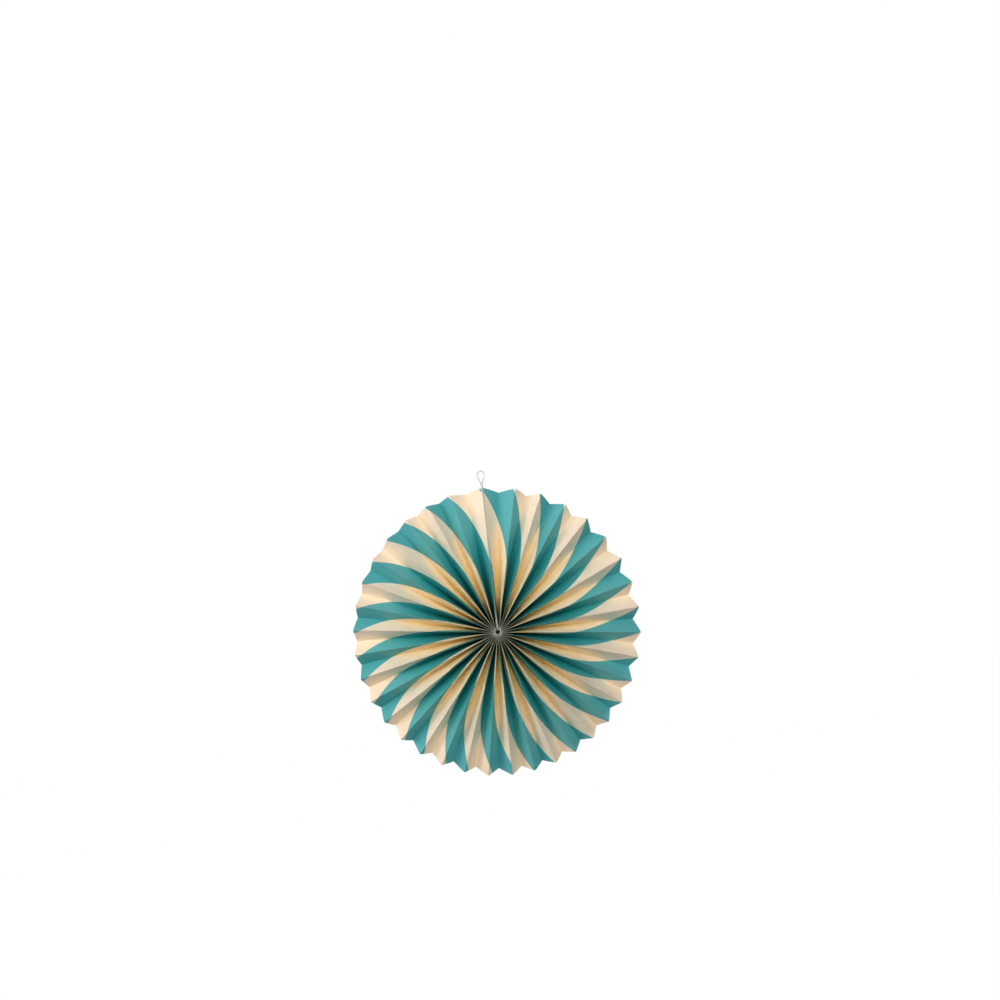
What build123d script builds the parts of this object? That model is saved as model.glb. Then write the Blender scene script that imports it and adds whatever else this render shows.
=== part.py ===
from build123d import *
import math
import os

# Paper fan rosette, in millimetres. The hub is the origin, the disc lies in the XZ plane, its front
# faces -Y, and the two glued seams run from the hub along +Z and -Z.

# Driving dimensions of the folded sheet
rim_radius = 160.0          # hub to the tip of a front crease
pleats_per_side = 18        # front crease to front crease, from the top seam to the bottom one
seam_pleat_depth = 11.25    # front to back at the rim, in the wide pleats beside the top seam
paper_thickness = 0.2
rim_notch = 6.3             # how much shorter the back creases are cut than the front ones
seam_pleat_angle = 12.7     # the pleat beside the top seam, in degrees
right_pleat_angle = 11.0    # the next pleat on the right, from which the rest close up evenly downwards
left_pleat_angle = 10.1     # the same on the left, which is fanned out more evenly

# Driving dimensions of the two threads
thread_diameter = 1.6       # the hanging one
tie_diameter = 1.0          # the one tied round the waist
tie_clearance = 0.05        # between the tie and the waist
foot_clearance = 0.2        # between the tie and the front strand's foot
rear_foot_clearance = 0.4   # between the tie and the rear strand's foot, which leans over it
slot_clearance = 0.2        # beside the strands in the waist's slot
channel_clearance = 0.3     # beside the strands in the seam
mouth_clearance = 0.6       # beside the strands where the seam opens at the rim
strand_clearance = 0.2      # between the two strands
strand_back = 3.3           # the front strand's middle line, behind the seam's front crease
strand_start = 14.0         # radius from which the strands run straight up to the rim
corner_share = 0.45         # how much of a run the arc at each of its ends may take

# Driving dimensions of the glued seams
end_panel_width = 18.0      # the panel behind each seam's front crease
seam_front_gap = 0.3        # half of the crack between the two front creases
narrow_from = 75.0          # radius from which that crack is this fine
mouth_length = 14.0         # how far down from the rim that crack opens
bulge_depth = 4.5           # from the front crease back to where the panels bulge round the thread
bulge_depth_at_waist = 14.0
glue_depth = 11.5           # from the front crease back to where the two ends meet
glue_depth_at_waist = 16.0
glue_gap = 0.1              # half of the joint where the two ends are taped together
open_until = 16.0           # radius up to which the ends stay apart
closed_from = 24.0          # radius from which the ends are taped together
tape_margin = 0.8           # bare paper left on each long side of the tape
tape_end_margin = 6.0       # bare paper left at the tape's two ends
tape_clearance = 0.01

# Driving dimensions of the waist
eye_radius = 2.4            # the hollow that the packed folds leave in the middle
pack_radius = 5.2           # inside this the folds are pressed into one ring
pack_overlap = 0.4          # how far the modelled folds run into that ring
pack_proud = 0.1            # how far the ring covers the folds' crests
core_half_depth = 4.5       # the pinched waist itself, across which the thread is tied
core_round = 0.8
cut_over = 1.0              # how far a cutting shape runs past what it cuts

# Worked out from the sizes above
seam_pleat_arc = rim_radius * math.radians(seam_pleat_angle / 2)
panel_width = math.hypot(seam_pleat_arc, seam_pleat_depth)
tau = paper_thickness / 2
thread_radius = thread_diameter / 2
tie_radius = tie_diameter / 2
waist_slot = thread_radius + slot_clearance
channel_gap = thread_radius + channel_clearance
mouth_gap = thread_radius + mouth_clearance
tie_offset = tie_radius + tie_clearance
last_pleats = pleats_per_side - 1
fold_start = pack_radius - pack_overlap
mouth_start = rim_radius - mouth_length
stations = [
    fold_start,
    open_until,
    closed_from,
    narrow_from,
    (narrow_from + mouth_start) / 2,
    mouth_start,
    rim_radius,
]


def pleat_fractions(upper_angle):
    """The share of the half circle that each pleat takes, from the top seam down."""
    lower_angle = 2 * (180 - seam_pleat_angle) / last_pleats - upper_angle
    angles = [seam_pleat_angle]
    for k in range(last_pleats):
        angles.append(upper_angle + (lower_angle - upper_angle) * k / (last_pleats - 1))
    return [angle / sum(angles) for angle in angles]


def fold_depth(arc):
    """How far a panel reaches from front to back when it is this wide across."""
    return math.sqrt(panel_width ** 2 - arc ** 2)


def front_crease_depth(radius):
    """Distance of the front creases from the disc's middle plane."""
    return fold_depth(math.pi * radius / (2 * pleats_per_side)) / 2


def between(radius, start, end, first, last):
    """A size that is first up to the start radius, last from the end radius, and changes evenly between."""
    share = max(0.0, min(1.0, (radius - start) / (end - start)))
    return first + share * (last - first)


def end_panel_points(radius, front):
    """One end panel, from its raw edge to the bulge behind the front crease."""
    glue_arc = between(radius, open_until, closed_from, channel_gap, glue_gap) + tau
    glue_back = between(radius, fold_start, open_until, glue_depth_at_waist, glue_depth)
    bulge_back = between(radius, fold_start, open_until, bulge_depth_at_waist, bulge_depth)
    return [
        ("edge", glue_arc, front + end_panel_width, end_panel_width / panel_width),
        ("bend", glue_arc, front + glue_back, glue_back / panel_width),
        ("bend", channel_gap + tau, front + bulge_back, bulge_back / panel_width),
    ]


def crease_points(radius, fractions):
    """The sheet's middle line at one radius as (kind, arc, depth, share of the rim notch)."""
    front = -front_crease_depth(radius)
    seam_arc = between(radius, closed_from, narrow_from, channel_gap, seam_front_gap) + tau
    seam_arc += between(radius, mouth_start, rim_radius, 0, mouth_gap - seam_front_gap)
    half_turn = math.pi * radius
    ends = end_panel_points(radius, front)
    points = list(ends)
    points.append(("front", seam_arc, front, 0.0))
    arc = seam_arc
    for share in fractions:
        half_pleat = share * (half_turn - 2 * seam_arc) / 2
        points.append(("back", arc + half_pleat, front + fold_depth(half_pleat), 1.0))
        arc += 2 * half_pleat
        points.append(("front", arc, front, 0.0))
    for kind, end_arc, depth, share in reversed(ends):
        points.append((kind, half_turn - end_arc, depth, share))
    return points


def unit(a, b):
    """The direction from one middle-line point to the next."""
    length = math.hypot(b[0] - a[0], b[1] - a[1])
    return ((b[0] - a[0]) / length, (b[1] - a[1]) / length)


def along(point, direction, distance, side):
    """A point on one face of the paper, some way along a panel from a crease."""
    normal = (direction[1], -direction[0])
    return (
        point[0] + direction[0] * distance + normal[0] * side * tau,
        point[1] + direction[1] * distance + normal[1] * side * tau,
    )


def section(radius, fractions):
    """Both faces of the paper at one radius, each as a list of groups of points, a group a crease."""
    line = crease_points(radius, fractions)
    places = [(arc, depth) for kind, arc, depth, share in line]
    faces = {1: [], -1: []}
    for i, (kind, arc, depth, share) in enumerate(line):
        here = places[i]
        before = unit(places[i - 1], here) if i > 0 else unit(here, places[1])
        after = unit(here, places[i + 1]) if i + 1 < len(line) else before
        turn = math.acos(max(-1.0, min(1.0, before[0] * after[0] + before[1] * after[1])))
        reach = tau * math.tan(turn / 2)
        if kind in ("edge", "bend"):
            for side in (1, -1):
                bend = 1 if before[0] * after[1] - before[1] * after[0] > 0 else -1
                shift = bend * side * reach if kind == "bend" else 0.0
                faces[side].append([(along(here, before, shift, side), share)])
            continue
        outer = 1 if kind == "front" else -1
        step = reach / panel_width if kind == "front" else -reach / panel_width
        tip = (here[0], here[1] - outer * tau)
        faces[outer].append([
            (along(here, before, -reach, outer), share + step),
            (tip, share),
            (along(here, after, reach, outer), share + step),
        ])
        faces[-outer].append([(along(here, after, reach, -outer), share + step)])
    return faces


def wrap(point, share, radius):
    """Bend the flat section round the hub; the rim is cut back by its share of the notch."""
    angle = point[0] / radius
    reach = radius - rim_notch * share if radius == rim_radius else radius
    return (reach * math.sin(angle), point[1], reach * math.cos(angle))


def folded_half(upper_angle):
    """One half of the sheet, laid out on the +X side, as one closed skin of flat triangles."""
    fractions = pleat_fractions(upper_angle)
    rows = {1: [], -1: []}
    for radius in stations:
        faces = section(radius, fractions)
        for side in (1, -1):
            rows[side].append([[wrap(p, share, radius) for p, share in group] for group in faces[side]])
    triangles = []

    def quad(a, b, c, d):
        triangles.append((a, b, c))
        triangles.append((a, c, d))

    for inner, outer in zip(range(len(stations) - 1), range(1, len(stations))):
        for side in (1, -1):
            near = [p for group in rows[side][inner] for p in group]
            far = [p for group in rows[side][outer] for p in group]
            for j in range(len(near) - 1):
                quad(near[j], near[j + 1], far[j + 1], far[j])
        for end in (0, -1):
            quad(
                rows[1][inner][end][0],
                rows[-1][inner][end][0],
                rows[-1][outer][end][0],
                rows[1][outer][end][0],
            )
    for station in (0, -1):
        upper = rows[1][station]
        lower = rows[-1][station]
        for j in range(len(upper)):
            if len(upper[j]) == 3:
                quad(upper[j][0], upper[j][1], upper[j][2], lower[j][0])
            if len(lower[j]) == 3:
                quad(lower[j][0], lower[j][1], lower[j][2], upper[j][0])
            if j + 1 < len(upper):
                quad(upper[j][-1], upper[j + 1][0], lower[j + 1][0], lower[j][-1])
    skin = [Face(Wire.make_polygon([Vector(*p) for p in triangle])) for triangle in triangles]
    return Solid(Shell(skin))


def along_y(radius, half_depth):
    """A round bar along Y, centred on the hub."""
    return Cylinder(radius, 2 * half_depth, rotation=(90, 0, 0))


def waist():
    """The ring of packed folds and the pinched core that joins the two halves."""
    pack_half_depth = panel_width / 2 + pack_proud
    ring = along_y(pack_radius, pack_half_depth) - along_y(eye_radius, pack_half_depth + cut_over)
    slot_middle = (eye_radius + pack_radius) / 2
    slot = Box(2 * waist_slot, 2 * (pack_half_depth + cut_over), pack_radius)
    for side in (1, -1):
        ring -= Pos(0, 0, side * slot_middle) * slot
    core = along_y(eye_radius, core_half_depth)
    core = fillet(core.edges().filter_by(GeomType.CIRCLE), core_round)
    return ring + core


def pleated_sheet():
    """The whole sheet: two folded halves joined across the waist."""
    right = folded_half(right_pleat_angle)
    left = mirror(folded_half(left_pleat_angle), about=Plane.YZ)
    return waist() + right + left


def seam_tape(direction):
    """The double-sided strip between two end panels, on the +Z or -Z side."""
    low = closed_from + tape_end_margin
    high = rim_radius - rim_notch - tape_end_margin
    corners = []
    for radius, inset in (
        (low, glue_depth + tape_margin),
        (low, end_panel_width - tape_margin),
        (high, end_panel_width - tape_margin),
        (high, glue_depth + tape_margin),
    ):
        corners.append((inset - front_crease_depth(radius), direction * radius))
    outline = Face(Wire.make_polygon([Vector(0, y, z) for y, z in corners]))
    return extrude(outline, amount=glue_gap - tape_clearance, dir=(1, 0, 0), both=True)


def waist_thread():
    """The thread tied round the waist, through the slot at the top and bottom seams."""
    across = 2 * (core_half_depth + tie_offset)
    height = 2 * (eye_radius + tie_offset)
    loop = Plane.YZ * RectangleRounded(across, height, core_round + tie_offset)
    path = loop.face().outer_wire()
    section_plane = Plane(origin=path @ 0, z_dir=path % 0)
    return sweep(section_plane * Circle(tie_radius), path=path)


def strand_y(radius, row):
    """How far forward the front strand, row 0, or the rear one, row 1, lies in the seam."""
    return strand_back - front_crease_depth(radius) + row * (thread_diameter + strand_clearance)


# The hanging thread leaves the front of the tie, in the eye, runs up in the seam, closes in a loop
# above the rim, and runs back down behind itself to the top of the tie.
tie_front = core_half_depth + tie_offset + tie_radius
tie_top = eye_radius + tie_offset + tie_radius
loop_depth = strand_y(rim_radius, 0)
thread_route = [
    (0.0, -tie_front - foot_clearance - thread_radius, 1.0),
    (0.0, strand_y(strand_start, 0), strand_start),
    (0.0, loop_depth, rim_radius + 2.0),
    (-2.0, loop_depth + 0.1, rim_radius + 8.0),
    (-4.1, loop_depth + 0.3, rim_radius + 12.8),
    (-2.9, loop_depth + 0.6, rim_radius + 18.6),
    (2.9, loop_depth + 1.1, rim_radius + 18.6),
    (4.1, loop_depth + 1.4, rim_radius + 12.8),
    (2.0, loop_depth + 1.6, rim_radius + 8.0),
    (0.0, strand_y(rim_radius, 1), rim_radius + 2.0),
    (0.0, strand_y(strand_start, 1), strand_start),
    (0.0, -3.0, tie_top + rear_foot_clearance),
]


def route_radii(route):
    """The largest arc that each corner has room for in its share of the shorter run."""
    radii = []
    for before, corner, after in zip(route, route[1:], route[2:]):
        first = Vector(*corner) - Vector(*before)
        second = Vector(*after) - Vector(*corner)
        turn = math.radians(first.get_angle(second))
        radii.append(corner_share * min(first.length, second.length) / math.tan(turn / 2))
    return radii


def hanging_thread():
    """The free thread as a plain tube along its route."""
    radii = route_radii(thread_route)
    path = FilletPolyline(*thread_route, radius=radii)
    print("thread arc radii", [round(r, 2) for r in radii], "length", round(path.length, 1))
    section_plane = Plane(origin=path @ 0, z_dir=path % 0)
    tube = sweep(section_plane * Circle(thread_radius), path=path)
    plain_volume = math.pi * thread_radius ** 2 * path.length
    print("thread volume", round(tube.volume, 2), "section times length", round(plain_volume, 2))
    return tube


def main():
    os.makedirs("parts", exist_ok=True)
    export_step(pleated_sheet(), "parts/pleated_sheet.step")
    export_step(seam_tape(1), "parts/top_seam_tape.step")
    export_step(seam_tape(-1), "parts/bottom_seam_tape.step")
    export_step(waist_thread(), "parts/waist_thread.step")
    export_step(hanging_thread(), "parts/hanging_thread.step")


main()
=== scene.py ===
import math
import random

import bmesh
import bpy
from mathutils import Matrix, Vector


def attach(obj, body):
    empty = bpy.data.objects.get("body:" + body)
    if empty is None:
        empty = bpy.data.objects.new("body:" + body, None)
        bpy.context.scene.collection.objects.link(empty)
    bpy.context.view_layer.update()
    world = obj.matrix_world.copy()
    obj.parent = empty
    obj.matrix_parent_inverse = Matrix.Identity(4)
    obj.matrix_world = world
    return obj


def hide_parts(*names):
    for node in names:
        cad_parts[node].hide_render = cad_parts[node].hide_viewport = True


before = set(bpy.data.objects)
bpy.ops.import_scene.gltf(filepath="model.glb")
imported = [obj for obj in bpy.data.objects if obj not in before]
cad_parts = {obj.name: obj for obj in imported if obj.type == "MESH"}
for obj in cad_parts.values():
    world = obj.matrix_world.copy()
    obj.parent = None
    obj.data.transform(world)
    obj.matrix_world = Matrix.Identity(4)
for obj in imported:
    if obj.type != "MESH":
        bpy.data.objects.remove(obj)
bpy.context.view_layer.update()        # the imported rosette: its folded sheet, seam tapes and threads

MM = 0.001

# The folded sheet
RIM = 160 * MM
EYE = 2.6 * MM
PANEL = 21 * MM
PAPER = 0.2 * MM
NOTCH = 6.3 * MM
FOLD = 0.18 * MM            # radius that the paper bends round at a crease
PINCHED = 4.5 * MM          # half of the waist's depth, inside the eye
PINCHED_ROUND = 0.8 * MM
PINCHED_SHARE = 0.96        # the waist's radius as a share of the eye's
BOW = 0.45                  # how far a panel may bow either way, in millimetres
BOW_SWEEP = 0.8             # share of a half wave that the bows follow from the hub out to the rim

# How wide the pleats are fanned out, in degrees: the one beside the top seam, and five stages of the rest
RIGHT_SEAM_PLEAT = 12.8
LEFT_SEAM_PLEAT = 12.7
RIGHT_SPREAD = (10.6, 10.6, 10.1, 9.0, 9.1)
LEFT_SPREAD = (10.1, 9.9, 9.8, 9.6, 9.6)
PLEATS = 18                 # on each side, from the top seam down

# How far the back creases fall short of the front ones at the rim, in millimetres, in five stages
RIGHT_NOTCHES = (6.6, 8.4, 6.7, 5.2, 6.4)
LEFT_NOTCHES = (5.0, 4.7, 5.9, 7.7, 7.0)

# The two glued ends, measured back from the seam's front crease
END_PANEL = 18 * MM
GLUE_BACK = 11.5 * MM
GLUE_BACK_AT_WAIST = 16 * MM
BULGE_BACK = 4.5 * MM
BULGE_BACK_AT_WAIST = 14 * MM

# Radii at which the two seams change
OPEN_UNTIL = 16 * MM        # the ends stay apart
CLOSED_FROM = 24 * MM       # they are taped together
CRACK_WIDE_UNTIL = 10 * MM  # the crack at the top seam is as wide as the thread's channel
CRACK_FINE_FROM = 30 * MM
SLOT_UNTIL = 3.7 * MM       # the bottom seam is open in the eye
TIGHT_FROM = 5 * MM
MOUTH_FROM = 146 * MM       # the crack at the top seam opens towards the rim

# Half of the gap between a seam's two sides
CHANNEL_GAP = 1.0 * MM
CRACK_GAP = 0.4 * MM
MOUTH_GAP = 1.4 * MM
SLOT_GAP = 0.55 * MM
TIGHT_GAP = 0.12 * MM
GLUE_GAP = 0.1 * MM

# The hanging thread: the frame's plain tube follows the same route, but further back next to the eye
THREAD = 1.6 * MM
THREAD_ROUTE = [
    (0.0006, -0.00400, 0.0014),
    (0.0006, -0.00960, 0.0023),
    (0.0, -0.00800, 0.0140),
    (0.0, -0.00660, 0.0300),
    (0.0, -0.00424, RIM + 0.0020),
    (-0.0020, -0.00414, RIM + 0.0080),
    (-0.0041, -0.00394, RIM + 0.0128),
    (-0.0029, -0.00364, RIM + 0.0186),
    (0.0029, -0.00314, RIM + 0.0186),
    (0.0041, -0.00284, RIM + 0.0128),
    (0.0020, -0.00264, RIM + 0.0080),
    (0.0, -0.00244, RIM + 0.0020),
    (0.0, -0.00500, 0.0140),
    (0.0, -0.00280, 0.00385),
]
PLY = 0.45 * MM             # radius of one of the thread's three plies
PLY_TURN = 5.5 * MM         # length in which the plies go once round
PLY_STEP = 0.45 * MM        # length between the points that the plies follow

# The photograph's framing
PICTURE = 1000
HUB_PIXEL = (497.8, 632.0)
RIM_PIXELS = 144.7
HUB_FRONT = -10.6 * MM      # depth of the eye's front edge, which is what that pixel shows
SEAM_LEAN = 6.05            # how far the top seam leans to the left there, in degrees
VIEW_AZIMUTH = -5.0
VIEW_ELEVATION = 5.0
LENS = 135.0
SENSOR = 36.0


# Camera

def place_camera():
    """A camera up and to the left of the hub, turned so that the hub falls on its pixel."""
    distance = LENS / SENSOR * PICTURE / RIM_PIXELS * RIM
    azimuth = math.radians(VIEW_AZIMUTH)
    elevation = math.radians(VIEW_ELEVATION)
    back = Vector((
        math.sin(azimuth) * math.cos(elevation),
        -math.cos(azimuth) * math.cos(elevation),
        math.sin(elevation),
    ))
    lean = Matrix.Rotation(math.radians(-SEAM_LEAN), 3, "Z").to_quaternion()
    facing_hub = back.to_track_quat("Z", "Y") @ lean
    aside = (HUB_PIXEL[0] - PICTURE / 2) / PICTURE * SENSOR / LENS
    below = (HUB_PIXEL[1] - PICTURE / 2) / PICTURE * SENSOR / LENS
    to_hub = Vector((aside, -below, -1)).normalized()
    aim = facing_hub @ to_hub.rotation_difference(Vector((0, 0, -1)))
    data = bpy.data.cameras.new("studio_camera")
    data.lens = LENS
    data.sensor_width = SENSOR
    data.clip_end = 30
    camera = bpy.data.objects.new("studio_camera", data)
    bpy.context.scene.collection.objects.link(camera)
    camera.location = Vector((0, HUB_FRONT, 0)) + back * distance
    camera.rotation_mode = "QUATERNION"
    camera.rotation_quaternion = aim
    bpy.context.scene.camera = camera


# Finishes

class Wire:
    """One output of a finish's node tree, so that sums on it are written as plain Python."""

    def __init__(self, tree, socket):
        self.tree = tree
        self.socket = socket

    def sum(self, operation, *values):
        node = self.tree.nodes.new("ShaderNodeMath")
        node.operation = operation
        for slot, value in zip(node.inputs, values):
            if isinstance(value, Wire):
                self.tree.links.new(value.socket, slot)
            else:
                slot.default_value = value
        return Wire(self.tree, node.outputs[0])

    def __radd__(self, other):
        return self.sum("ADD", other, self)

    def __sub__(self, other):
        return self.sum("SUBTRACT", self, other)

    def __rsub__(self, other):
        return self.sum("SUBTRACT", other, self)

    def __mul__(self, other):
        return self.sum("MULTIPLY", self, other)

    def __rmul__(self, other):
        return self.sum("MULTIPLY", other, self)

    def __truediv__(self, other):
        return self.sum("DIVIDE", self, other)

    def __abs__(self):
        return self.sum("ABSOLUTE", self)

    def ramp(self, low, high):
        """0 below low, 1 above high, and even between; the other way round if low is above high."""
        share = (self - low) / (high - low)
        share = share.sum("MAXIMUM", share, 0.0)
        return share.sum("MINIMUM", share, 1.0)


class Finish:
    """A material under construction."""

    def __init__(self, name, holder=None):
        self.material = holder or bpy.data.materials.new(name)
        self.material.use_nodes = True
        self.tree = self.material.node_tree
        self.tree.nodes.clear()

    def node(self, kind, settings=None, out=0, places=None, **sockets):
        """Any node: its settings first, then the values or links of its sockets, by place or by name."""
        made = self.tree.nodes.new(kind)
        for name, value in (settings or {}).items():
            if name == "stops":
                first, *middle, last = value
                ends = made.color_ramp.elements
                ends[0].position, ends[0].color = first
                ends[-1].position, ends[-1].color = last
                for position, tone in middle:
                    ends.new(position).color = tone
            else:
                setattr(made, name, value)
        named = {name.replace("_", " "): value for name, value in sockets.items()}
        for name, value in {**(places or {}), **named}.items():
            if isinstance(value, Wire):
                self.tree.links.new(value.socket, made.inputs[name])
            else:
                made.inputs[name].default_value = value
        return Wire(self.tree, made.outputs[out]) if made.outputs else None

    def mix(self, share, first, second, blend="MIX"):
        """A colour between two others, or the first with some of the second worked into it."""
        settings = {"data_type": "RGBA", "blend_type": blend}
        return self.node("ShaderNodeMix", settings, out=2, places={0: share, 6: first, 7: second})

    def paper_coordinates(self):
        """Across the pleats, clockwise from the top seam, and out along them, as a share of the rim."""
        uv = self.node("ShaderNodeUVMap", {"uv_map": "paper"})
        return [self.node("ShaderNodeSeparateXYZ", out=axis, Vector=uv) for axis in ("X", "Y")]

    def seen_as_background(self):
        """1 for the rays that see the studio itself, straight or by reflection, and 0 for its light."""
        camera, glossy, through = [
            self.node("ShaderNodeLightPath", out=kind)
            for kind in ("Is Camera Ray", "Is Glossy Ray", "Is Transmission Ray")
        ]
        return camera.sum("MAXIMUM", camera.sum("MAXIMUM", camera, glossy), through)

    def choice(self, share, first, second, output="ShaderNodeOutputMaterial"):
        """End with one shader or the other."""
        both = self.node("ShaderNodeMixShader", places={0: share, 1: first, 2: second})
        self.node(output, Surface=both)
        return self.material

    def grain(self, scale, detail=3.0, stretch=(1, 1, 1)):
        """Noise fixed to the piece, from 0 to 1."""
        place = self.node("ShaderNodeTexCoord", out=3)
        stretched = self.node("ShaderNodeMapping", Vector=place, Scale=stretch)
        noise = {"Scale": scale, "Detail": detail, "Roughness": 0.55}
        return self.node("ShaderNodeTexNoise", Vector=stretched, **noise)

    def tooth(self, strength, height, scale, detail=3.0):
        """Fine bumps of the surface, for its Normal."""
        bumps = self.grain(scale, detail)
        return self.node("ShaderNodeBump", Strength=strength, Distance=height, Height=bumps)

    def surface(self, **sockets):
        """End with a principled surface."""
        self.node("ShaderNodeOutputMaterial", Surface=self.node("ShaderNodeBsdfPrincipled", **sockets))
        return self.material


def colour(red, green, blue):
    """A colour as a screen shows it, from 0 to 255, turned to the light that it reflects."""
    def linear(value):
        value /= 255
        return value / 12.92 if value <= 0.04045 else ((value + 0.055) / 1.055) ** 2.4
    return (linear(red), linear(green), linear(blue), 1.0)


# The two inks, as (share of the rim, colour on the front creases, colour down in the folds). Both darken
# towards the hub, nearly to black at the eye's edge, as painted shade. A pale ring just outside the eye is
# wear and painted highlight. The fold colour is painted bounce light and shade, golden in the cream and
# deeper in the teal.
CREAM_PRINT_AND_SHADE = (
    (0.015, colour(50, 46, 34), colour(50, 46, 34)),
    (0.02, colour(150, 160, 144), colour(150, 160, 144)),
    (0.038, colour(48, 50, 36), colour(44, 46, 34)),
    (0.07, colour(116, 108, 72), colour(84, 82, 50)),
    (0.15, colour(212, 192, 140), colour(230, 198, 128)),
    (0.3, colour(225, 207, 170), colour(250, 222, 148)),
    (0.55, colour(220, 210, 186), colour(250, 226, 176)),
    (0.75, colour(236, 215, 192), colour(240, 222, 194)),
)
TEAL_PRINT_AND_SHADE = (
    (0.015, colour(16, 30, 28), colour(16, 30, 28)),
    (0.02, colour(112, 132, 122), colour(112, 132, 122)),
    (0.038, colour(12, 33, 29), colour(12, 33, 29)),
    (0.07, colour(32, 70, 62), colour(12, 44, 40)),
    (0.15, colour(30, 94, 90), colour(20, 85, 82)),
    (0.3, colour(43, 125, 122), colour(18, 112, 112)),
    (0.55, colour(68, 152, 151), colour(30, 150, 149)),
    (0.75, colour(88, 165, 168), colour(78, 163, 165)),
)
# Pale worn paper on the front creases, which near the hub is also a painted highlight
WORN_AND_HIGHLIT_CREASE = colour(222, 222, 204)
# Painted shade, worked into the folds round the hub
FOLD_SHADE_TONE = colour(104, 104, 102)
BLOTCHED = colour(205, 200, 194)
BARE_PAPER = colour(240, 234, 222)

# How far clockwise the stripes have swung, in pleats: a cubic of the share of the radius left to the rim
STRIPE_SWING = (-0.09, 2.90, -1.14, -0.61)
STRIPE_PITCH = 1.0078       # width of one stripe, in pleats
STRIPE_EDGE = 0.0035        # how soft its edges are, as a share of two stripes

# Where the front creases are worn and, growing towards the hub, painted with a highlight: pleats to each
# side, and shares of the rim where it starts and fades
CREASE_WEAR_AND_HIGHLIGHT = 0.0038
WORN_AND_HIGHLIT_FROM = (0.0155, 0.018)
WORN_AND_HIGHLIT_MOST = (0.14, 0.02)

# Where the folds have painted shade: pleats from the front crease, and shares of the rim where it fades
FOLD_FROM = (0.004, 0.014)
FOLD_MOST = (0.24, 0.06)


def stripes(finish):
    """1 on the teal stripes and 0 on the cream ones."""
    across, out = finish.paper_coordinates()
    left = 1.0 - out
    swing = STRIPE_SWING[0] + left * (STRIPE_SWING[1] + left * (STRIPE_SWING[2] + left * STRIPE_SWING[3]))
    pair = (across / STRIPE_PITCH - swing) * 0.5
    fraction = pair.sum("FRACT", pair)
    this, following = [
        (0.25 - abs(fraction - middle)).ramp(-STRIPE_EDGE, STRIPE_EDGE)
        for middle in (0.25, 1.25)
    ]
    return this.sum("MAXIMUM", this, following)


def near_crease(finish):
    """How far the paper is from its nearest front crease, in pleats."""
    across = finish.paper_coordinates()[0]
    return abs(across - across.sum("ROUND", across))


def ink_with_painted_shade(finish, stops):
    """One print colour with painted shade in it: it darkens along the pleats towards the hub, and changes
    from their front creases down to their back ones as painted bounce light and shade.
    """
    out = finish.paper_coordinates()[1]
    crease, fold = [
        finish.node("ShaderNodeValToRGB", {"stops": [(row[0], row[column]) for row in stops]}, Fac=out)
        for column in (1, 2)
    ]
    return finish.mix(near_crease(finish) * 2.0, crease, fold)


def worn_and_highlit_creases(finish):
    """The print rubbed off the front creases, with a painted highlight on them that grows towards the hub:
    much of it close to the hub, little further out.
    """
    out = finish.paper_coordinates()[1]
    patchy = 0.6 + 0.4 * finish.grain(160).ramp(0.4, 0.6)
    share = patchy * out.ramp(*WORN_AND_HIGHLIT_FROM) * (0.1 + 0.8 * out.ramp(*WORN_AND_HIGHLIT_MOST))
    return near_crease(finish).ramp(CREASE_WEAR_AND_HIGHLIGHT, 0.0) * share


def painted_fold_shade(finish):
    """Painted shade on the paper between the creases, where the pleats are packed round the hub."""
    out = finish.paper_coordinates()[1]
    return near_crease(finish).ramp(*FOLD_FROM) * out.ramp(*FOLD_MOST)


def printed_paper():
    finish = Finish("printed_paper")
    teal = stripes(finish)
    blotch = finish.grain(38, detail=4)
    speck = finish.grain(900, detail=2)
    # Print with painted shade towards the hub and painted bounce light down in the folds
    ink_and_shade = finish.mix(teal, ink_with_painted_shade(finish, CREAM_PRINT_AND_SHADE), ink_with_painted_shade(finish, TEAL_PRINT_AND_SHADE))
    uneven = finish.mix(blotch.ramp(0.35, 0.7) * 0.2, ink_and_shade, BLOTCHED, "MULTIPLY")
    # Painted shade in the folds near the hub
    fold_shaded = finish.mix(painted_fold_shade(finish) * 0.85, uneven, FOLD_SHADE_TONE, "MULTIPLY")
    fibres = finish.mix(speck.ramp(0.62, 0.8) * 0.04, fold_shaded, BARE_PAPER)
    # Worn creases, with painted highlight towards the hub
    shade = finish.mix(worn_and_highlit_creases(finish), fibres, WORN_AND_HIGHLIT_CREASE)
    tooth = finish.tooth(0.12, 0.2 * MM, 1500, detail=2)
    return finish.surface(Base_Color=shade, Roughness=0.5, Normal=tooth, Specular_IOR_Level=0.12)


def bare_paper():
    finish = Finish("bare_paper")
    teal = stripes(finish)
    blotch = finish.grain(50, detail=4).ramp(0.3, 0.75)
    plain = finish.mix(blotch, BARE_PAPER, colour(232, 225, 210))
    shown_through = finish.mix(teal * 0.22, plain, colour(176, 208, 204))
    tooth = finish.tooth(0.15, 0.2 * MM, 1500, detail=2)
    return finish.surface(Base_Color=shown_through, Roughness=0.75, Normal=tooth)


def cut_edge():
    finish = Finish("cut_edge")
    fibre = finish.grain(700).ramp(0.3, 0.7)
    tone = finish.mix(fibre, BARE_PAPER, colour(226, 214, 192))
    return finish.surface(Base_Color=tone, Roughness=0.85)


def cotton():
    finish = Finish("cotton")
    fluff = finish.grain(900, detail=4).ramp(0.3, 0.7)
    tone = finish.mix(fluff, colour(224, 224, 214), colour(186, 186, 172))
    return finish.surface(Base_Color=tone, Roughness=0.85, Normal=finish.tooth(0.4, 0.1 * MM, 2500))


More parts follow.
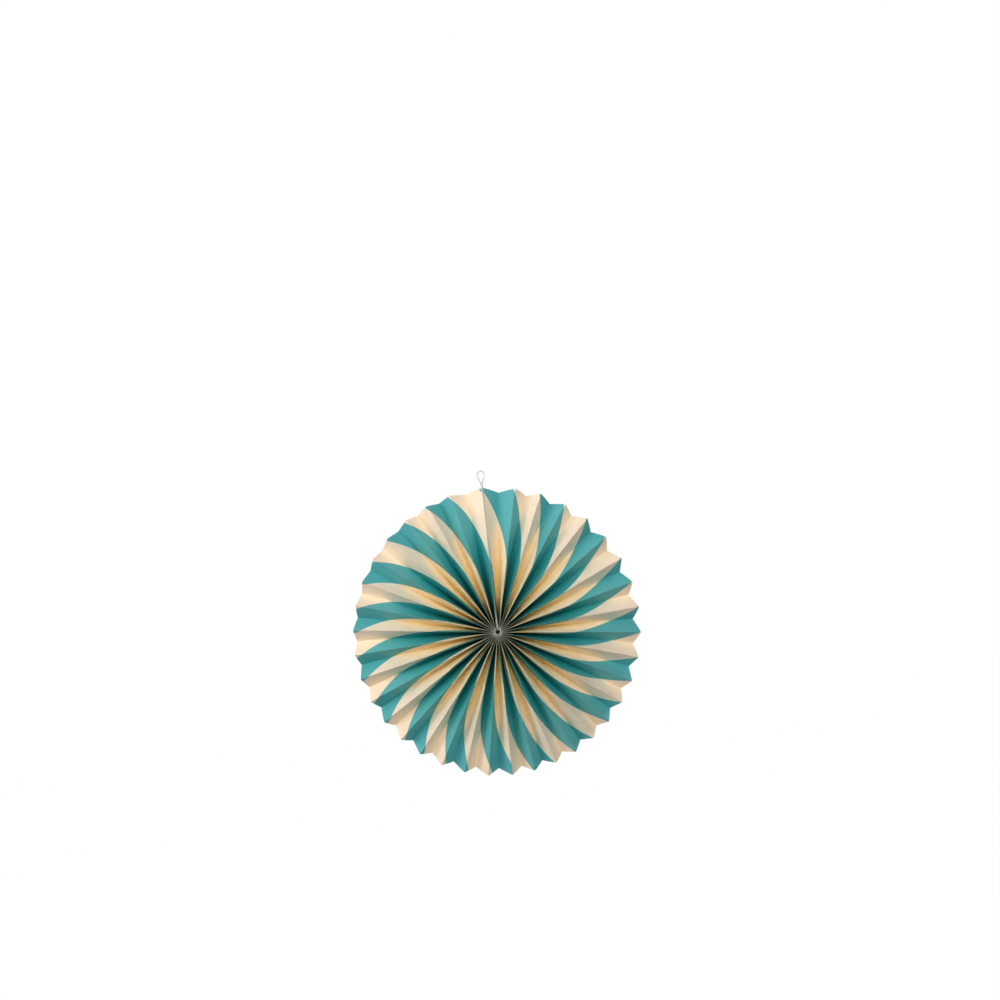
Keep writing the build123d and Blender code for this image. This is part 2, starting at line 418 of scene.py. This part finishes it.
# The waist's tie, coloured dark teal as painted shade, to read as dark as the eye's hollow
def shade_dark_thread():
    finish = Finish("shade_dark_thread")
    twist = finish.grain(1400, stretch=(1, 1, 0.3)).ramp(0.35, 0.65)
    tone = finish.mix(twist, colour(20, 52, 52), colour(44, 84, 80))
    return finish.surface(Base_Color=tone, Roughness=0.8, Normal=finish.tooth(0.4, 0.1 * MM, 2500))


# The waist's packed folds, coloured near black as painted shade inside the eye
def shade_black_packed_paper():
    finish = Finish("shade_black_packed_paper")
    layers = finish.grain(1200, stretch=(3, 0.2, 0.2)).ramp(0.4, 0.6)
    tone = finish.mix(layers, colour(4, 8, 8), colour(12, 10, 8))
    return finish.surface(Base_Color=tone, Roughness=0.8)


def sticky_film():
    finish = Finish("sticky_film")
    haze = finish.grain(120).ramp(0.3, 0.7)
    tone = finish.mix(haze, colour(226, 220, 206), colour(212, 204, 188))
    return finish.surface(Base_Color=tone, Roughness=0.35)


# The folded sheet

SLOPE_ROUNDS = 4            # how often a panel's slope is worked out again, with the bends it leads to
END_STEPS = 3
RING_STEPS = 46
RING_CROWDING = 1.25        # above 1, the rings lie closer together near the eye
FIRST_RING = 1.3            # share of the eye's radius

# The lip of the eye, as (share of the eye's radius, how much of the sheet's depth is left there)
EYE_LIP = (
    (0.94, 0.43),
    (0.95, 0.60),
    (0.965, 0.76),
    (0.985, 0.88),
    (1.01, 0.945),
    (1.06, 0.982),
    (1.15, 0.997),
)


def between(place, start, end, first, last):
    """A size that is first up to the start, last from the end, and changes evenly between."""
    share = max(0.0, min(1.0, (place - start) / (end - start)))
    return first + share * (last - first)


def stages(values, count):
    """Sizes that change evenly from each value to the next."""
    sizes = []
    for step in range(count):
        place = step * (len(values) - 1) / (count - 1)
        low = min(int(place), len(values) - 2)
        sizes.append(between(place, low, low + 1, values[low], values[low + 1]))
    return sizes


def panel_section(half_pleat, depth, bow):
    """One panel from its front crease to its back one, both bent round, as (place, arc, depth)."""
    bend = min(FOLD, half_pleat / 2)
    slope = math.atan2(half_pleat, depth)
    for again in range(SLOPE_ROUNDS):
        turn = math.pi / 2 - slope
        side, back = bend * math.sin(turn), bend * (1 - math.cos(turn))
        slope = math.atan2(half_pleat - 2 * side, depth - 2 * back)
    straight = math.hypot(half_pleat - 2 * side, depth - 2 * back)
    length = 2 * bend * turn + straight
    front = []
    for share in (0.0, 0.5, 1.0):
        angle = share * turn
        front.append((bend * angle, bend * math.sin(angle), bend * (1 - math.cos(angle))))
    middle = []
    for share in (0.25, 0.5, 0.75):
        proud = bow * math.sin(math.pi * share)
        middle.append((
            bend * turn + share * straight,
            side + share * straight * math.sin(slope) + proud * math.cos(slope),
            back + share * straight * math.cos(slope) - proud * math.sin(slope),
        ))
    rear = [(length - place, half_pleat - arc, depth - deep) for place, arc, deep in reversed(front)]
    return [(place * PANEL / length, arc, deep) for place, arc, deep in front + middle + rear]


def end_panel(radius, front, seam, channel):
    """One end panel from its raw edge to the seam's front crease, as (place, arc, depth)."""
    glue = between(radius, OPEN_UNTIL, CLOSED_FROM, channel, GLUE_GAP) + PAPER / 2
    glue_back = between(radius, EYE, OPEN_UNTIL, GLUE_BACK_AT_WAIST, GLUE_BACK)
    bulge_back = between(radius, EYE, OPEN_UNTIL, BULGE_BACK_AT_WAIST, BULGE_BACK)
    bends = [
        (END_PANEL, glue, front + END_PANEL),
        (glue_back, glue, front + glue_back),
        (bulge_back, channel + PAPER / 2, front + bulge_back),
        (0.0, seam, front),
    ]
    points = []
    for before, after in zip(bends, bends[1:]):
        for step in range(END_STEPS):
            points.append(tuple(a + (b - a) * step / END_STEPS for a, b in zip(before, after)))
    return points


class Half:
    """How one half of the sheet is folded: side is 1 on the right and -1 on the left."""

    def __init__(self, side, seam_pleat, spread, notches, seed):
        chance = random.Random(seed)
        self.side = side
        pleats = [seam_pleat] + stages(spread, PLEATS - 1)
        self.shares = [pleat / sum(pleats) for pleat in pleats]
        self.bows = [chance.uniform(-BOW, BOW) * MM for panel in range(2 * PLEATS)]
        self.notches = [notch * MM for notch in stages(notches, PLEATS)]

    def row(self, radius):
        """The paper's middle line at one radius, as (place on the paper, arc from the seam, depth, notch)."""
        mean_arc = math.pi * radius / (2 * PLEATS)
        front = -math.sqrt(PANEL ** 2 - mean_arc ** 2) / 2
        mouth = between(radius, MOUTH_FROM, RIM, 0, MOUTH_GAP - CRACK_GAP)
        crack = between(radius, CRACK_WIDE_UNTIL, CRACK_FINE_FROM, CHANNEL_GAP, CRACK_GAP)
        top = crack + PAPER / 2 + mouth
        tight = between(radius, SLOT_UNTIL, TIGHT_FROM, SLOT_GAP, TIGHT_GAP)
        bottom = tight + PAPER / 2
        half_turn = math.pi * radius
        points = []
        for place, arc, depth in end_panel(radius, front, top, CHANNEL_GAP):
            points.append((-place, arc, depth, NOTCH * place / PANEL))
        arc = top
        bulging = math.sin(math.pi * min(1.0, radius / RIM) * BOW_SWEEP)
        for k, share in enumerate(self.shares):
            half_pleat = share * (half_turn - top - bottom) / 2
            fold_depth = math.sqrt(PANEL ** 2 - half_pleat ** 2)
            start = 2 * k * PANEL
            down = panel_section(half_pleat, fold_depth, self.bows[2 * k] * bulging)
            up = panel_section(half_pleat, fold_depth, self.bows[2 * k + 1] * bulging)
            for place, aside, deep in down[:-1]:
                points.append((start + place, arc + aside, front + deep, self.notches[k] * place / PANEL))
            for place, aside, deep in reversed(up[1:]):
                points.append((
                    start + 2 * PANEL - place,
                    arc + 2 * half_pleat - aside,
                    front + deep,
                    self.notches[k] * place / PANEL,
                ))
            arc += 2 * half_pleat
        last = 2 * PLEATS * PANEL
        points.append((last, half_turn - bottom, front, 0.0))
        for place, end_arc, depth in reversed(end_panel(radius, front, bottom, tight)):
            points.append((last + place, half_turn - end_arc, depth, NOTCH * place / PANEL))
        return points


def rings():
    """Each row of the sheet from inside the eye to the rim, as (radius, how much of its depth is left)."""
    rows = [(EYE * share, depth) for share, depth in EYE_LIP]
    start = EYE * FIRST_RING
    for step in range(RING_STEPS + 1):
        rows.append((start + (RIM - start) * (step / RING_STEPS) ** RING_CROWDING, 1.0))
    return rows


def folded_half(half):
    """A flat grid of paper, folded, fanned out round the hub and marked with its own coordinates."""
    rows = [(radius, squeeze, half.row(radius)) for radius, squeeze in rings()]
    across = len(rows[0][2]) - 1
    along = len(rows) - 1
    flat = bmesh.new()
    bmesh.ops.create_grid(flat, x_segments=across, y_segments=along, size=0.5)
    paper = flat.loops.layers.uv.new("paper")
    seat = {}
    for vert in flat.verts:
        radius, squeeze, points = rows[round((vert.co.y + 0.5) * along)]
        place, arc, depth, notch = points[round((vert.co.x + 0.5) * across)]
        reach = radius * (1 - notch / RIM)
        seat[vert] = (half.side * place / (2 * PANEL), reach / RIM)
        angle = arc / radius
        vert.co = Vector((half.side * reach * math.sin(angle), depth * squeeze, reach * math.cos(angle)))
    for face in flat.faces:
        for loop in face.loops:
            loop[paper].uv = seat[loop.vert]
    if half.side < 0:
        bmesh.ops.reverse_faces(flat, faces=flat.faces)
    return flat


def join(target, extra):
    """Put one bmesh into another, with its coordinates."""
    mesh = bpy.data.meshes.new("join")
    extra.to_mesh(mesh)
    extra.free()
    target.from_mesh(mesh)
    bpy.data.meshes.remove(mesh)


def shaped(name, shape):
    """The mesh of a bmesh."""
    mesh = bpy.data.meshes.new(name)
    shape.to_mesh(mesh)
    shape.free()
    return mesh


def piece(name, mesh, *finishes):
    """An object of a mesh, with its finishes, that rides with the rosette."""
    mesh.name = name
    mesh.materials.clear()
    for finish in finishes:
        mesh.materials.append(finish)
    made = bpy.data.objects.new(name, mesh)
    bpy.context.scene.collection.objects.link(made)
    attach(made, "root")
    return made


def folded_sheet():
    sheet = folded_half(Half(1, RIGHT_SEAM_PLEAT, RIGHT_SPREAD, RIGHT_NOTCHES, 11))
    join(sheet, folded_half(Half(-1, LEFT_SEAM_PLEAT, LEFT_SPREAD, LEFT_NOTCHES, 23)))
    made = piece("folded_sheet", shaped("folded_sheet", sheet), printed_paper(), bare_paper(), cut_edge())
    wall = made.modifiers.new("paper_thickness", "SOLIDIFY")
    wall.thickness = PAPER
    wall.offset = 0
    wall.use_even_offset = False
    wall.material_offset = 1
    wall.material_offset_rim = 2
    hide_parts("pleated_sheet")
    return made


def pinched_waist():
    """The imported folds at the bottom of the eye, between the two halves."""
    core = bmesh.new()
    radius = PINCHED_SHARE * EYE
    bmesh.ops.create_cone(
        core,
        cap_ends=True,
        segments=48,
        radius1=radius,
        radius2=radius,
        depth=2 * PINCHED,
        matrix=Matrix.Rotation(math.pi / 2, 4, "X"),
    )
    bmesh.ops.bevel(
        core,
        geom=[edge for edge in core.edges if abs(edge.verts[0].co.y - edge.verts[1].co.y) < PINCHED],
        affect="EDGES",
        offset=PINCHED_ROUND,
        segments=4,
        profile=0.5,
        material=-1,
        clamp_overlap=True,
    )
    made = piece("pinched_waist", shaped("pinched_waist", core), shade_black_packed_paper())
    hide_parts("pleated_sheet")
    return made


# Threads and tapes

def smooth_route():
    """The thread's centre line, as points a fraction of a millimetre apart."""
    data = bpy.data.curves.new("thread_line", "CURVE")
    data.dimensions = "3D"
    spline = data.splines.new("NURBS")
    spline.points.add(len(THREAD_ROUTE) - 1)
    for point, (x, y, z) in zip(spline.points, THREAD_ROUTE):
        point.co = (x, y, z, 1)
    spline.order_u = 3
    spline.use_endpoint_u = True
    spline.resolution_u = 48
    line = bpy.data.objects.new("thread_line", data)
    mesh = bpy.data.meshes.new_from_object(line)
    points = [vert.co.copy() for vert in mesh.vertices]
    bpy.data.meshes.remove(mesh)
    bpy.data.objects.remove(line)
    bpy.data.curves.remove(data)
    return points


def even_steps(points, step):
    """The same line with its points evenly spaced."""
    even = [points[0]]
    left = step
    for before, after in zip(points, points[1:]):
        run = (after - before).length
        done = 0.0
        while run - done >= left:
            done += left
            even.append(before.lerp(after, done / run))
            left = step
        left -= run - done
    even.append(points[-1])
    return even


def hanging_thread():
    """Three plies laid round the thread's line."""
    route = smooth_route()
    line = even_steps(route, PLY_STEP)
    data = bpy.data.curves.new("thread_plies", "CURVE")
    data.dimensions = "3D"
    data.bevel_depth = PLY
    data.bevel_resolution = 1
    data.use_fill_caps = True
    aside = Vector((1, 0, 0))
    frames = []
    for index, point in enumerate(line):
        ahead = (line[min(index + 1, len(line) - 1)] - line[max(index - 1, 0)]).normalized()
        aside = (aside - ahead * aside.dot(ahead)).normalized()
        frames.append((point, aside.copy(), ahead.cross(aside)))
    for ply in range(3):
        spline = data.splines.new("POLY")
        spline.points.add(len(frames) - 1)
        for index, (point, first, second) in enumerate(frames):
            angle = 2 * math.pi * (ply / 3 + index * PLY_STEP / PLY_TURN)
            place = point + (first * math.cos(angle) + second * math.sin(angle)) * (THREAD / 2 - PLY)
            spline.points[index].co = (*place, 1)
    plies = bpy.data.objects.new("thread_plies", data)
    mesh = bpy.data.meshes.new_from_object(plies)
    bpy.data.objects.remove(plies)
    bpy.data.curves.remove(data)
    for face in mesh.polygons:
        face.use_smooth = True
    made = piece("hanging_cotton", mesh, cotton())
    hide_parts("hanging_thread")
    return made


def finish_kept_nodes():
    """Give the frame's own small pieces their finishes."""
    film = sticky_film()
    kept_nodes = {"waist_thread": shade_dark_thread(), "top_seam_tape": film, "bottom_seam_tape": film}
    for node, finish in kept_nodes.items():
        kept = bpy.data.objects[node]
        kept.data.materials.clear()
        kept.data.materials.append(finish)


# Studio

FLOOR_DROP = 0.75
FLOOR_REACH = 6.0
FLOOR_SHOWN = 0.94          # how much of the floor's white the camera sees; the rest is its matte grey

# Soft white lamps round the object, as (name, place, width, power)
LAMPS = (
    ("left_light", (-1.41, -1.69, 0.0), 1.2, 1.85),
    ("right_light", (1.41, -1.69, 0.0), 1.2, 6.95),
    ("key_light", (-0.85, -0.49, 0.17), 0.5, 4.65),
    ("corner_light", (-0.3, -0.3, 0.5), 0.35, 0.42),
    ("upper_light", (0.0, -0.69, 0.4), 0.4, 3.02),
    ("front_light", (0.0, -0.79, 0.14), 0.4, 1.5),
    ("back_light_left", (-1.5, 1.5, 0.9), 1.2, 22.0),
    ("back_light_right", (1.5, 1.5, 0.9), 1.2, 22.0),
)


def studio():
    scene = bpy.context.scene
    scene.view_settings.view_transform = "Standard"
    scene.world = bpy.data.worlds.new("studio")
    air = Finish("studio", scene.world)
    light = air.node("ShaderNodeBackground", Color=(1.0, 0.98, 0.95, 1), Strength=0.03)
    white = air.node("ShaderNodeBackground", Color=(1, 1, 1, 1), Strength=1.0)
    air.choice(air.seen_as_background(), light, white, "ShaderNodeOutputWorld")

    floor = Finish("studio_floor")
    matte = floor.node("ShaderNodeBsdfDiffuse", Color=(0.45, 0.45, 0.45, 1))
    glow = floor.node("ShaderNodeEmission", Color=(1, 1, 1, 1), Strength=1.06)
    ground = bmesh.new()
    bmesh.ops.create_grid(ground, x_segments=1, y_segments=1, size=FLOOR_REACH)
    bmesh.ops.translate(ground, verts=ground.verts, vec=(0, 0, -FLOOR_DROP))
    mesh = shaped("studio_floor", ground)
    mesh.materials.append(floor.choice(floor.seen_as_background() * FLOOR_SHOWN, matte, glow))
    made = bpy.data.objects.new("studio_floor", mesh)
    scene.collection.objects.link(made)

    for name, place, size, power in LAMPS:
        data = bpy.data.lights.new(name, "AREA")
        data.shape = "DISK"
        data.size = size
        data.energy = power
        lamp = bpy.data.objects.new(name, data)
        scene.collection.objects.link(lamp)
        lamp.location = place
        lamp.rotation_mode = "QUATERNION"
        lamp.rotation_quaternion = Vector(place).to_track_quat("Z", "Y")
        lamp.visible_camera = False


place_camera()
hanging_thread()
folded_sheet()
pinched_waist()
finish_kept_nodes()
studio()
